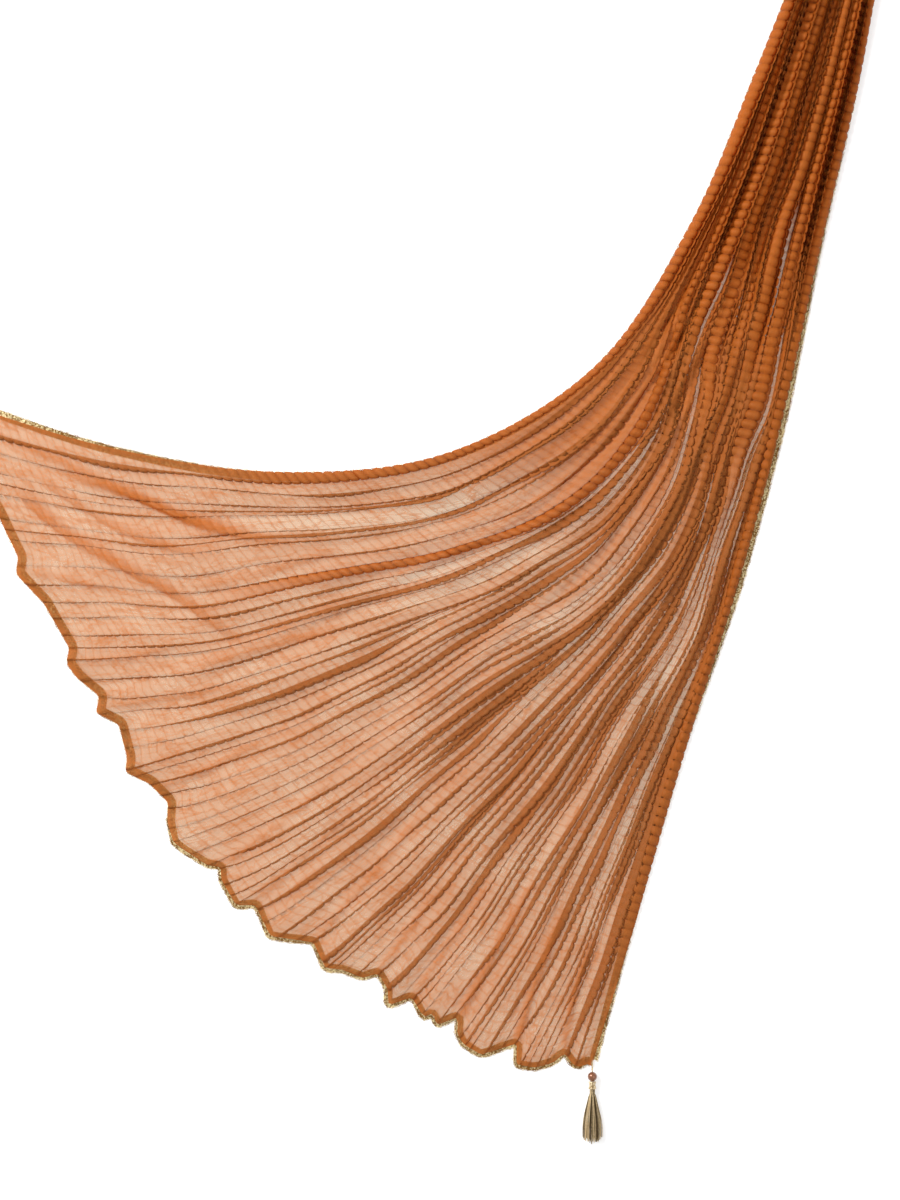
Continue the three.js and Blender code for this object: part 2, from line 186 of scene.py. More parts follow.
# Pleats that open early and lie in one layer, so that the ground shows through them
SLITS = [
    {"pleat": 46, "from": 900, "to": 420, "width": 5.2},
    {"pleat": 22, "from": 830, "to": 400, "width": 3.6},
    {"pleat": 25, "from": 780, "to": 400, "width": 4.2},
    {"pleat": 31, "from": 800, "to": 380, "width": 4.6},
    {"pleat": 38, "from": 740, "to": 360, "width": 3.6},
    {"pleat": 41, "from": 690, "to": 360, "width": 3.2},
    {"pleat": 51, "from": 780, "to": 400, "width": 3.2},
    {"pleat": 53, "from": 680, "to": 380, "width": 3.0},
    {"pleat": 57, "from": 660, "to": 200, "width": 5.4},
    {"pleat": 15, "from": 740, "to": 330, "width": 3.4},
    {"pleat": 12, "from": 640, "to": 330, "width": 3.4},
    {"pleat": 5, "from": 520, "to": 300, "width": 4.0},
    {"pleat": 18, "from": 620, "to": 330, "width": 3.6},
    {"pleat": 34, "from": 640, "to": 330, "width": 3.6},
    {"pleat": 49, "from": 640, "to": 330, "width": 3.2},
]

# Stretches of the one cloth: the crinkles where each starts and ends, the crinkle rows in
# each of them, and how many of a pleat's columns it keeps
STRETCHES = [
    {"node": "cloth_spread_hem", "first": 0, "last": 42, "rows": 4, "sparse": False},
    {"node": "cloth_fan", "first": 42, "last": 80, "rows": 4, "sparse": False},
    {"node": "cloth_neck", "first": 80, "last": 126, "rows": 4, "sparse": False},
    {"node": "cloth_far_half", "first": 126, "last": 259, "rows": 3, "sparse": True},
]

# Where a row lies within its crinkle
ROW_PHASES = {4: (0.0, 0.15, 0.5, 0.85), 3: (0.0, 0.28, 0.72)}

# A pleat's columns: parts of its run forward to the fold, then of its run back under it
FORWARD = (0.0, 0.22, 0.45, 0.66, 0.84, 1.0)
BACK = (0.35, 0.72)
WANDER_LINES = 9
SWAY_LINES = 13
COLUMNS = len(FORWARD) + len(BACK)
SPARSE_COLUMNS = (0, 2, 5)

# Where the lace shows past the long edges, section by section, and past the spread hem
LEFT_LACE = (6, 2, -1, -1, -1, -1, -1, -1, -1, -1, -1, 1, 4, 5, 5, 5)
RIGHT_LACE = (4, -1, -1, 4, 4, 1, -1, -1, -1, -1, -1, 1, 4, 5, 5, 5)
HEM_LACE = [
    {"at": 0.0, "shows": 0}, {"at": 0.42, "shows": 0}, {"at": 0.47, "shows": 4},
    {"at": 0.97, "shows": 4}, {"at": 1.0, "shows": 1},
]
LACE_STEP = 2.4
LACE_START = 5.0
HEM_STEPS = 420
FAR_HEM_STEPS = 130
FAR_HEM_LACE = 5.0

# Corner tassels: bead centre and the way that the skirt points
TASSELS = {
    "spread_right": {"bead": (135, -452), "way": (0.0, -1.0)},
    "spread_left": {"bead": (-489, 191), "way": (-0.8, -0.6)},
    "far_left": {"bead": (628, 1946), "way": (0.3, 0.954)},
    "far_right": {"bead": (915, 1856), "way": (0.3, 0.954)},
}
BEAD_RADIUS = 4.5
CAP_START = 4.8
CAP_LENGTH = 7.0
CAP_RADIUS = 4.0
SKIRT_START = 12.1
SKIRT_LENGTH = 52.0
SKIRT_RADIUS = 10.0
SKIRT_FLATNESS = 0.42
THREADS = 84
THREAD_STEPS = 13
STRING_LENGTH = 11.0
STRING_STEPS = 40
STRAND_RADIUS = 0.5
STRAND_TWIST = 0.42

# Chiffon: fine creases (offset, scale), the colours of its finish, and the colour of painted shade in
# its grooves
FINE_CREASES = ((0.0, 95), (3.7, 150))
LAYER_CLEARNESS = 0.84
GLOW_SHARE = 0.42
GROOVE_SHADE_COLOUR = (0.26, 0.05, 0.003, 1)
GAUZE_COLOUR = (0.84, 0.84, 0.74, 1)

# Stage, in metres
PICTURE_HEIGHT = 1.14
FLOOR_REACH = 9.0
FLOOR_DROP = 0.0004
LIGHTS = [
    {"name": "key", "place": (-1.9, 1.5, 2.1), "size": 1.4, "power": 100},
    {"name": "fill", "place": (1.9, -0.9, 2.4), "size": 2.2, "power": 16},
]


# --- shape of the layout -----------------------------------------------------------------


def smooth(low, high, value):
    """0 below low, 1 above high, and an even turn between them."""
    t = np.clip((value - low) / (high - low), 0.0, 1.0)
    return t * t * (3 - 2 * t)


def through(values, place):
    """A smooth curve through evenly spaced values, straight on past both ends."""
    values = np.asarray(values, float)
    padded = np.vstack([2 * values[0] - values[1], values, 2 * values[-1] - values[-2]])
    place = np.asarray(place, float)
    i = np.clip(np.floor(place).astype(int), 0, len(values) - 2)
    t = (place - i)[..., None]
    inside = np.clip(t, 0, 1)
    a, b, c, d = (padded[i + k] for k in range(4))
    slope_in = (c - a) / 2
    slope_out = (d - b) / 2
    rise = c - b
    curve = b + inside * (slope_in + inside * ((3 * rise - 2 * slope_in - slope_out)
                                               + inside * (slope_in + slope_out - 2 * rise)))
    return curve + (t - inside) * rise


def section_size(name, along):
    sizes = [row[name] for row in SECTIONS]
    return np.interp(along / SECTION_STEP, range(len(sizes)), sizes)


def ground(along, share):
    """Layout points (x, y) at a cloth length and a share of the width."""
    along, share = np.broadcast_arrays(along, share)
    left, middle, right = (
        through([row[name] for row in SECTIONS], along / SECTION_STEP)
        for name in ("left", "middle", "right")
    )
    s = share[..., None]
    return (1 - s) * (1 - 2 * s) * left + 4 * s * (1 - s) * middle + s * (2 * s - 1) * right


def width_at(along):
    """Length of the section across the cloth at each cloth length."""
    shares = np.linspace(0, 1, 33)
    points = ground(np.asarray(along, float)[:, None], shares[None, :])
    return np.linalg.norm(np.diff(points, axis=1), axis=2).sum(1)


def rounded_hem():
    """The hem's outline with its points a little rounded, on evenly spaced shares."""
    shares = np.linspace(0, 1, 801)
    reach = np.interp(shares, [row["at"] for row in HEM], [row["out"] for row in HEM])
    kernel = np.hanning(9)
    padded = np.pad(reach, 4, mode="edge")
    return shares, np.convolve(padded, kernel / kernel.sum(), mode="valid")


HEM_SHARES, HEM_REACH = rounded_hem()


def hem_out(along, share):
    """How far the scallops of both hems move a point out along the cloth."""
    spread = np.interp(share, HEM_SHARES, HEM_REACH)
    near = np.clip(1 - along / SCALLOP_FADE, 0, None)
    near_far = np.clip(1 - (LENGTH - along) / SCALLOP_FADE, 0, None)
    wave = FAR_SCALLOP * fold_ridge(share)
    return -spread * near + wave * near_far


def fold_ridge(share):
    """1 on the crests of the large folds and 0 between them."""
    knots = []
    for row in FOLDS:
        knots += [(row["dip"], 0.0), (row["tip"], 1.0)]
    knots.append((1.0, 0.0))
    value = np.interp(share, [k[0] for k in knots], [k[1] for k in knots])
    return 0.5 - 0.5 * np.cos(np.pi * value)


def swell_height(share):
    """Height of the bundle's top across the neck."""
    ends = np.array([row["to"] for row in SWELLS])
    starts = np.concatenate([[0.0], ends[:-1]])
    i = np.clip(np.searchsorted(ends, share), 0, len(ends) - 1)
    across = 2 * (share - starts[i]) / (ends[i] - starts[i]) - 1
    sides = np.clip(np.minimum(share, 1 - share) / VALLEY_FADE, 0.1, 1)
    valley = VALLEY * sides
    heights = np.array([row["height"] for row in SWELLS], float)[i]
    return valley + (heights - valley) * np.sqrt(np.clip(1 - across ** 2, 0, 1))


def slow_noise(rng, rows, columns, span):
    """Smooth random values from -1 to 1 along the rows, a new line for each column."""
    knots = rng.uniform(-1, 1, (int(rows.max() / span) + 4, columns))
    place = rows / span
    i = np.floor(place).astype(int)
    t = (place - i)[:, None]
    t = t * t * (3 - 2 * t)
    return knots[i] * (1 - t) + knots[i + 1] * t


class PleatPlan:
    """How the cut width is shared between the pleats at every cloth length."""

    def __init__(self):
        rng = np.random.default_rng(SEED)
        count = PLEAT_COUNT
        self.cloth = 1 + 0.5 * rng.uniform(-1, 1, count)
        centres = (np.arange(count) + 0.5) / count
        self.roll = np.full(count, -1)
        for number, row in enumerate(ROLLS):
            middle = 0.5 * (row["start"] + row["end"])
            k = int(np.clip(round(middle * count - 0.5), 0, count - 1))
            if number == 0:
                k = 0
            if number == len(ROLLS) - 1:
                k = count - 1
            self.roll[k] = number
            self.cloth[k] = 1.25
        self.cloth *= CUT_WIDTH / self.cloth.sum()
        self.spread = rng.uniform(-0.5, 0.5, count)
        self.closing = 0.25 + 0.5 * np.clip(centres - 0.2, 0, 1)
        self.gap = self._gaps()
        self.slit_width = np.zeros(count)
        for row in SLITS:
            self.slit_width[row["pleat"]] = row["width"]

    def _gaps(self):
        """Width left in the neck for each pleat that isn't a roll, as a share."""
        gap = np.zeros(PLEAT_COUNT)
        rolls = np.where(self.roll >= 0)[0]
        for a, b in zip(rolls[:-1], rolls[1:]):
            room = ROLLS[self.roll[b]]["start"] - ROLLS[self.roll[a]]["end"]
            gap[a + 1 : b] = max(room, 0.006) / max(b - a - 1, 1)
        return gap

    def roll_width(self, along, width):
        """Visible width of every roll, rows by pleats, and how rolled up it still is."""
        wide = np.zeros((len(along), PLEAT_COUNT))
        rolled = np.zeros_like(wide)
        for k in np.where(self.roll >= 0)[0]:
            row = ROLLS[self.roll[k]]
            share = row["end"] - row["start"]
            tight = np.clip(share * width, 4.5, row["most"])
            tight = np.minimum(tight, share * width * 1.1)
            back = smooth(row["opens"], row["opens"] + 170, along)
            far = smooth(LENGTH - 300 - row["opens"] * 0.4, LENGTH - 700, along)
            rolled[:, k] = back * far
            plain = self.cloth[k] / CUT_WIDTH * width
            wide[:, k] = tight * rolled[:, k] + plain * (1 - rolled[:, k])
        return wide, rolled

    def widths(self, along):
        """Visible width of every pleat (rows by pleats), and how far the rolls are rolled."""
        width = width_at(along)
        wide, rolled = self.roll_width(along, width)
        plain = self.roll < 0
        cloth = self.cloth[None, plain]
        least = self.gap[None, plain] * np.minimum(width, 90)[:, None]
        room = width - wide.sum(1)
        low = np.full(len(along), -1.2)
        high = np.full(len(along), 3.0)
        bunched = smooth(260, 560, along)
        soft = (1.1 - 0.6 * bunched)[:, None]
        spread = self.spread[None, plain] * (0.35 + 0.65 * bunched)[:, None]
        closing = self.closing[None, plain] + spread
        for _ in range(30):
            mid = 0.5 * (low + high)
            opened = smooth(0, soft, mid[:, None] - closing)
            total = (least + (cloth - least) * opened).sum(1)
            low = np.where(total < room, mid, low)
            high = np.where(total < room, high, mid)
        opened = smooth(0, soft, low[:, None] - closing)
        part = least + (cloth - least) * opened
        wide[:, plain] = part
        slit = self.slits(along)
        wide = np.maximum(wide, slit * self.slit_width[None, :])
        wide *= (width / wide.sum(1))[:, None]
        return wide, rolled, slit, width

    def slits(self, along):
        """1 where a pleat lies open in one layer, rows by pleats."""
        slit = np.zeros((len(along), PLEAT_COUNT))
        for row in SLITS:
            top = 1 - smooth(row["from"] - 70, row["from"], along)
            slit[:, row["pleat"]] = top * smooth(row["to"] - 90, row["to"], along)
        return slit


PLAN = PleatPlan()


def crinkle_rows(stretch):
    """Cloth length and crinkle phase of each row of a stretch."""
    along = []
    phase = []
    for number in range(stretch["first"], stretch["last"]):
        for part in ROW_PHASES[stretch["rows"]]:
            along.append((number + part) * CRINKLE)
            phase.append(part)
    along.append(stretch["last"] * CRINKLE)
    phase.append(0.0)
    return np.array(along), np.array(phase)


def crease_shapes(points):
    """Height and extra layers of the listed creases at layout points."""
    height = np.zeros(points.shape[:2])
    layers = np.zeros(points.shape[:2])
    for row in CREASES:
        steps = np.linspace(0, len(row["path"]) - 1, 6 * (len(row["path"]) - 1) + 1)
        path = through(row["path"], steps)
        line = ground(path[:, 0], path[:, 1])
        nearest = np.full(points.shape[:2], 1e9)
        best = np.zeros(points.shape[:2])
        place = np.zeros(points.shape[:2])
        for i, (a, b) in enumerate(zip(line[:-1], line[1:])):
            span = b - a
            size = np.linalg.norm(span)
            t = np.clip(((points - a) @ span) / size ** 2, 0, 1)
            gap = points - (a + t[..., None] * span)
            distance = np.linalg.norm(gap, axis=2)
            side = (gap[..., 0] * span[1] - gap[..., 1] * span[0]) / size
            closer = distance < nearest
            nearest = np.where(closer, distance, nearest)
            best = np.where(closer, side, best)
            place = np.where(closer, (i + t) / (len(line) - 1), place)
        reach = np.where(best > 0, row["width"] * CREASE_BACK, row["width"])
        ends = smooth(0, 0.2, place) * (1 - smooth(0.75, 1.0, place))
        shape = ends * np.exp(-(nearest / reach) ** 2)
        height += row["height"] * shape
        layers += row["layers"] * shape
    return height, layers


def side_by_side(parts):
    """The columns of every pleat in a row, pleat after pleat."""
    return np.stack(parts, axis=2).reshape(len(parts[0]), -1)


def for_columns(values):
    """Values of the pleats repeated for their columns, and once for the last edge."""
    return np.hstack([np.repeat(values, COLUMNS, axis=1), values[:, -1:]])


def cloth_grid(stretch):
    """Points, cloth coordinates, layer counts and painted shade of the grooves of one stretch, rows
    by columns.
    """
    along, phase = crinkle_rows(stretch)
    rng = np.random.default_rng(SEED + 5)
    rows = along[:, None]
    wide, rolled, slit, width = PLAN.widths(along)
    cloth = PLAN.cloth[None, :]
    gather = section_size("gather", along)[:, None]
    neck = smooth(0.25, 1.0, gather)

    # every random line is drawn over the whole length, so that stretches agree
    whole = np.arange(0, LENGTH + 2 * CRINKLE, CRINKLE)
    count = PLEAT_COUNT
    tuck_noise = sample(whole, slow_noise(rng, whole, count, 70.0), along)
    ripple_noise = sample(whole, slow_noise(rng, whole, count, 45.0), along)
    drift_noise = sample(whole, slow_noise(rng, whole, count, 60.0), along)
    wander = sample(whole, slow_noise(rng, whole, WANDER_LINES, 120.0), along)
    sway = sample(whole, slow_noise(rng, whole, SWAY_LINES, 85.0), along)

    spare = np.clip(cloth - wide, 0, None)
    lean = 1 - 0.88 * neck
    reach = spare / 2 * lean * (1 + 0.35 * tuck_noise) + 0.35 + 0.5 * tuck_noise
    reach = np.clip(reach, 0.05, 7.5 - 6.3 * neck)
    slit_after = np.hstack([slit[:, 1:], np.zeros((len(along), 1))])
    reach = reach * (1 - 0.92 * slit_after) * (1 - 0.7 * slit)
    upright = np.sqrt(np.clip((cloth / 2) ** 2 - ((wide + 2 * reach) / 2) ** 2, 0, None))
    low_tuck = 0.5 + 0.22 * reach + 0.5 * np.clip(tuck_noise, 0, 1)
    tall = np.minimum(upright, 0.8 + 6.4 * neck) * neck + low_tuck * (1 - neck)
    tall = tall * (1 - slit)
    starts = np.concatenate([np.zeros((len(along), 1)), np.cumsum(wide, axis=1)[:, :-1]], axis=1)

    pillow = (1 - np.abs(2 * phase - 1) ** 3.5)[:, None]
    beads = np.array([ROLLS[r]["beads"] if r >= 0 else 0.0 for r in PLAN.roll])[None, :]
    roll_tall = np.array([ROLLS[r]["height"] if r >= 0 else 0.0 for r in PLAN.roll])[None, :]
    wiggle = (pillow - 0.5) * (1.25 + 0.6 * ripple_noise)
    wiggle = wiggle + (1.7 * drift_noise + 0.9 * ripple_noise) * (1 - neck)
    amount = 0.55 + 0.45 * smooth(0.0, 2.0, reach)

    packed = smooth(430, 700, along)[:, None] * (1 - smooth(1900, 2250, along))[:, None]
    layered = 1 + 2.4 * packed * (1 - slit) - 0.35 * slit
    across = []
    height = []
    cover = []
    for part in FORWARD:
        plain = (wide + reach) * part + wiggle * amount * part ** 3
        tube = wide * (0.5 - 0.5 * math.cos(math.pi * part))
        tube = wide / 2 + (tube - wide / 2) * (1 - 0.3 * beads * (1 - pillow))
        across.append(starts + plain * (1 - rolled) + tube * rolled)
        rise = tall * (part ** 2) * (1 - rolled)
        round_up = roll_tall * math.sin(math.pi * part) ** 0.75
        round_up = round_up * (1 - 0.5 * beads * (1 - pillow))
        height.append(rise + round_up * rolled)
        cover.append(layered * (1 + 1.6 * neck * (1 - slit)) + 2.4 * rolled * (1 - neck))
    for part in BACK:
        plain = (wide + reach) - reach * part + wiggle * amount * (1 - part)
        tube = wide * (1 - 0.3 * math.sin(math.pi * part))
        across.append(starts + plain * (1 - rolled) + tube * rolled)
        rise = tall * (1 - part) * (1 - rolled)
        height.append(rise + 0.2 * rolled)
        cover.append(layered * (1 + 1.6 * neck * (1 - slit)))

    last = width[:, None] - 1.4 * (1 - pillow) * rolled[:, -1:]
    across = np.hstack([side_by_side(across), last])
    height = np.hstack([side_by_side(height), np.full((len(along), 1), 0.2)])
    cover = np.hstack([side_by_side(cover), np.ones((len(along), 1))])
    drift = for_columns(drift_noise)
    ripple = for_columns(ripple_noise)
    cloth_ends = np.cumsum(PLAN.cloth)
    cloth_starts = cloth_ends - PLAN.cloth
    runs = np.array(FORWARD + tuple(1 + b for b in BACK))
    inside = np.where(runs <= 1, runs * 0.7, 0.7 + (runs - 1) * 0.3)
    cloth_u = (cloth_starts[:, None] + PLAN.cloth[:, None] * inside[None, :]).reshape(-1)
    cloth_u = np.append(cloth_u, CUT_WIDTH)

    if stretch["sparse"]:
        keep = [COLUMNS * k + c for k in range(PLEAT_COUNT) for c in SPARSE_COLUMNS]
        keep.append(COLUMNS * PLEAT_COUNT)
        across, height, cover = across[:, keep], height[:, keep], cover[:, keep]
        drift, ripple, cloth_u = drift[:, keep], ripple[:, keep], cloth_u[keep]

    share = np.clip(across / width[:, None], 0, 1)
    swayed = spread_lines(share, sway)
    free = np.clip(np.minimum(share, 1 - share) / 0.04, 0, 1) * (1 - neck)
    share = share + 4.6 * swayed * free / width[:, None]
    wavy = spread_lines(share, wander)
    reached = rows + 2.3 * drift + 2.6 * wavy * (1 - neck)
    reached = np.clip(reached, 0, LENGTH)
    if stretch["first"] == 0:
        reached[0] = 0
    if stretch["last"] * CRINKLE > LENGTH - CRINKLE:
        reached[-1] = LENGTH
    bundle = np.clip(swell_height(share) - 5.0, 0.3, None) * gather
    fold = section_size("fold", along)[:, None] * fold_ridge(share) * 0.75 * (1 - gather)
    banded = smooth(0.0, 1.0, spare_share(wide))[:, None]
    ripples = (pillow - 0.5) * (0.5 + 0.9 * banded) * (1 + 0.4 * ripple)
    flat_points = ground(reached + hem_out(reached, share), share)
    crease, folded = crease_shapes(flat_points)
    puff = 3.2 * fold_ridge(share) * smooth(0, 9, rows) * np.exp(-rows / 26.0)
    lift = 1.3
    z = lift + height + bundle + fold + ripples + crease + puff
    points = np.dstack([flat_points, np.clip(z, 0.5, None)])
    turned = 2.2 * np.clip(1 - rows / 2.6, 0, 1) + 2.2 * np.clip(1 - (LENGTH - rows) / 3.2, 0, 1)
    edge = np.minimum(share, 1 - share) * width[:, None]
    turned = turned + 2.0 * np.clip(1 - edge / 3.0, 0, 1)
    from_right = (1 - share) * width[:, None]
    turned = turned + 3.0 * smooth(150, 420, rows) * np.clip((14 - from_right) / 3, 0, 1)
    cover = cover + turned + folded
    beaded = for_columns(beads * rolled)
    if stretch["sparse"]:
        beaded = beaded[:, keep]
    # painted shade: how much the colour darkens in the creases between crinkle beads, most on the
    # rolls
    groove = (1 - pillow) * np.clip(0.25 * banded + 0.75 * beaded, 0, 1)
    groove = groove * np.clip(0.75 + 0.6 * ripple, 0, 1)
    uv = np.dstack([np.broadcast_to(cloth_u, z.shape) * MM, np.broadcast_to(rows, z.shape) * MM])
    return points, uv, cover, groove


def spare_share(wide):
    """How much of the cut width is tucked away at each cloth length, from 0 to 1."""
    return np.clip(1.25 * (1 - wide.sum(1) / CUT_WIDTH), 0, 1)


def spread_lines(share, lines):
    """Lines evenly spaced over the width, read at each row's shares of it."""
    places = np.linspace(0, 1, lines.shape[1])
    return np.stack([np.interp(row, places, line) for row, line in zip(share, lines)])


def sample(places, lines, at):
    """Lines given at places, read at other places."""
    return np.stack([np.interp(at, places, lines[:, k]) for k in range(lines.shape[1])], axis=1)


def layout_shift():
    """Metres that move the layout on to the frame."""
    low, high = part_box("bead_spread_right")
    return Vector((
        (low[0] + high[0]) / 2 - LAYOUT_BEAD[0] * MM,
        (low[1] + high[1]) / 2 - LAYOUT_BEAD[1] * MM,
        0.0,
    ))


SHIFT = layout_shift()


# --- meshes ------------------------------------------------------------------------------


def grid_normals(points):
    along = np.gradient(points, axis=0)
    across = np.gradient(points, axis=1)
    normal = np.cross(across, along)
    size = np.linalg.norm(normal, axis=2, keepdims=True)
    return normal / np.maximum(size, 1e-12)


def new_object(name, mesh):
    piece = bpy.data.objects.new(name, mesh)
    bpy.context.scene.collection.objects.link(piece)
    return piece


def grid_mesh(name, points, uv, values=None):
    """A sheet of quads on a grid of layout points, with its UV map and named values."""
    rows, columns = points.shape[:2]
    place = points.reshape(-1, 3) * MM + np.array(SHIFT)
    index = np.arange(rows * columns).reshape(rows, columns)
    quads = np.stack([index[:-1, :-1], index[:-1, 1:], index[1:, 1:], index[1:, :-1]], axis=2)
    quads = quads.reshape(-1, 4)
    mesh = bpy.data.meshes.new(name)
    mesh.vertices.add(len(place))
    mesh.vertices.foreach_set("co", place.astype(np.float32).ravel())
    mesh.loops.add(quads.size)
    mesh.loops.foreach_set("vertex_index", quads.astype(np.int32).ravel())
    mesh.polygons.add(len(quads))
    mesh.polygons.foreach_set("loop_start", np.arange(0, quads.size, 4, dtype=np.int32))
    mesh.update(calc_edges=True)
    layer = mesh.uv_layers.new(name="cloth")
    layer.data.foreach_set("uv", uv.reshape(-1, 2)[quads.ravel()].astype(np.float32).ravel())
    mesh.polygons.foreach_set("use_smooth", np.ones(len(quads), dtype=bool))
    for label, value in (values or {}).items():
        attribute = mesh.attributes.new(label, "FLOAT", "POINT")
        attribute.data.foreach_set("value", value.astype(np.float32).ravel())
    mesh.update()
    return mesh


def build_cloth(stretch):
    points, uv, cover, groove = cloth_grid(stretch)
    normal = grid_normals(points)
    tilt = np.clip(np.abs(normal[:, :, 2]), 0.35, 1)
    values = {"cover": cover / tilt, "groove": groove}
    mesh = grid_mesh(stretch["node"] + "_cloth", points, uv, values)
    return new_object(stretch["node"] + "_cloth", mesh)


# --- materials ---------------------------------------------------------------------------


def fresh_material(name):
    material = bpy.data.materials.new(name)
    material.use_nodes = True
    material.node_tree.nodes.clear()
    return material, material.node_tree


def add_node(tree, kind, values, **traits):
    """A new node with its own settings made and its inputs set or linked."""
    node = tree.nodes.new(kind)
    for label, value in traits.items():
        setattr(node, label, value)
    for label, value in values.items():
        if isinstance(value, bpy.types.NodeSocket):
            tree.links.new(value, node.inputs[label])
        else:
            node.inputs[label].default_value = value
    return node


def math_node(tree, operation, *values, clamp=False):
    """The result of a math node on numbers and sockets."""
    inputs = dict(enumerate(values))
    return add_node(tree, "ShaderNodeMath", inputs, operation=operation, use_clamp=clamp).outputs[0]


def mix_colour(tree, factor, a, b):
    return add_node(tree, "ShaderNodeMix", {0: factor, 6: a, 7: b}, data_type="RGBA").outputs[2]


def noise(tree, vector, scale, detail, distortion=0.0):
    """Soft noise over a coordinate."""
    values = {"Vector": vector, "Scale": scale, "Detail": detail, "Distortion": distortion}
    return add_node(tree, "ShaderNodeTexNoise", values).outputs["Fac"]


def drawn_out(tree, uv, offset, share):
    """The cloth's coordinates, moved on and drawn out along it."""
    values = {"Vector": uv, "Location": (offset, offset, 0), "Scale": (1.0, share, 1.0)}
    return add_node(tree, "ShaderNodeMapping", values).outputs[0]


def from_half(tree, value):
    """How far a value lies from one half."""
    return math_node(tree, "ABSOLUTE", math_node(tree, "SUBTRACT", value, 0.5))


def object_place(tree):
    return add_node(tree, "ShaderNodeTexCoord", {}).outputs["Object"]


def surface(tree, shader):
    """Join a shader to the material's output."""
    add_node(tree, "ShaderNodeOutputMaterial", {"Surface": shader.outputs[0]})


def crosswise_lines(tree, uv):
    """A thin line of denser cloth at every crinkle, broken up by a noise."""
    patchy = noise(tree, uv, 75, 2)
    split = add_node(tree, "ShaderNodeSeparateXYZ", {0: uv})
    wander = math_node(tree, "MULTIPLY", math_node(tree, "SUBTRACT", patchy, 0.5), 0.5)
    turns = math_node(tree, "MULTIPLY_ADD", split.outputs["Y"], 1 / (CRINKLE * MM), 0.5)
    off = from_half(tree, math_node(tree, "FRACT", math_node(tree, "ADD", turns, wander)))
    line = math_node(tree, "MAXIMUM", math_node(tree, "MULTIPLY_ADD", off, -7.0, 1.0), 0.0)
    return math_node(tree, "MULTIPLY", line, math_node(tree, "MULTIPLY", patchy, 1.3))


def fine_creases(tree, uv):
    """Thin crease lines at two sizes, drawn out along the folds."""
    lines = []
    for offset, scale in FINE_CREASES:
        off = from_half(tree, noise(tree, drawn_out(tree, uv, offset, 0.2), scale, 3, 0.5))
        line = math_node(tree, "MULTIPLY_ADD", off, -34.0, 1.0)
        lines.append(math_node(tree, "MAXIMUM", line, 0.0))
    return math_node(tree, "MULTIPLY", math_node(tree, "ADD", *lines), 0.75)


def chiffon_colour(tree, uv, layers, settings):
    """From the thin colour to the deep one with the layers, and darkened by painted shade in the
    grooves.
    """
    depth = math_node(tree, "SUBTRACT", 1.0, math_node(tree, "POWER", LAYER_CLEARNESS, layers))
    thin = tuple(settings.thin_colour) + (1,)
    deep = tuple(settings.deep_colour) + (1,)
    warm = tuple(c * 1.2 for c in settings.thin_colour) + (1,)
    shade = mix_colour(tree, math_node(tree, "MULTIPLY", noise(tree, uv, 22, 3), 0.5), thin, warm)
    # painted shade: the colour is mixed towards a dark shade colour in the grooves
    groove = add_node(tree, "ShaderNodeAttribute", {}, attribute_name="groove")
    shadowed = math_node(tree, "MULTIPLY", groove.outputs["Fac"], 0.62)
    return mix_colour(tree, shadowed, mix_colour(tree, depth, shade, deep), GROOVE_SHADE_COLOUR)


def chiffon_material(settings):
    """Sheer crinkled chiffon: thin where one layer lies flat, denser in folds and layers."""
    material, tree = fresh_material("crinkled_chiffon")
    cover = add_node(tree, "ShaderNodeAttribute", {}, attribute_name="cover").outputs["Fac"]
    uv = add_node(tree, "ShaderNodeUVMap", {}, uv_map="cloth").outputs[0]

    creased = fine_creases(tree, uv)
    grainy = math_node(tree, "MULTIPLY_ADD", noise(tree, uv, 420, 3), 0.9, 0.55)
    cloudy = math_node(tree, "MULTIPLY_ADD", noise(tree, uv, 15, 3), 1.1, 0.45)
    layers = math_node(tree, "MULTIPLY", math_node(tree, "MULTIPLY", cover, grainy), cloudy)
    layers = math_node(tree, "ADD", layers, crosswise_lines(tree, uv))
    layers = math_node(tree, "ADD", layers, creased)
    clear = math_node(tree, "POWER", 1 - settings.chiffon_opacity, layers)
    colour = chiffon_colour(tree, uv, layers, settings)

    # crushed grain: fine ridges drawn out along the cloth, and the fine creases
    grain = noise(tree, drawn_out(tree, uv, 0.0, 0.32), 620, 4)
    relief = math_node(tree, "ADD", grain, math_node(tree, "MULTIPLY", creased, 0.8))
    bumps = {"Strength": 0.35, "Distance": 0.0006, "Height": relief}
    normal = add_node(tree, "ShaderNodeBump", bumps).outputs[0]
    cloth = add_node(tree, "ShaderNodeBsdfPrincipled", {
        "Base Color": colour, "Roughness": 0.62, "Sheen Weight": 0.12,
        "Sheen Tint": (1.0, 0.55, 0.25, 1), "Sheen Roughness": 0.4,
        "Specular IOR Level": 0.25, "Normal": normal,
    })
    glow = add_node(tree, "ShaderNodeBsdfTranslucent", {"Color": colour, "Normal": normal})
    body = {0: GLOW_SHARE, 1: cloth.outputs[0], 2: glow.outputs[0]}
    body = add_node(tree, "ShaderNodeMixShader", body)
    gauze = add_node(tree, "ShaderNodeBsdfTransparent", {"Color": GAUZE_COLOUR})
    mix = {0: clear, 1: body.outputs[0], 2: gauze.outputs[0]}
    surface(tree, add_node(tree, "ShaderNodeMixShader", mix))
    return material


# --- lace and tassels --------------------------------------------------------------------


def outward(points, inner):
    """The way out from a line of the cloth, across it and away from points inside."""
    heading = np.gradient(points, axis=0)
    heading /= np.linalg.norm(heading, axis=1, keepdims=True)
    out = np.stack([heading[:, 1], -heading[:, 0]], axis=1)
    return out * np.where((out * (inner - points)).sum(1) > 0, -1.0, 1.0)[:, None]


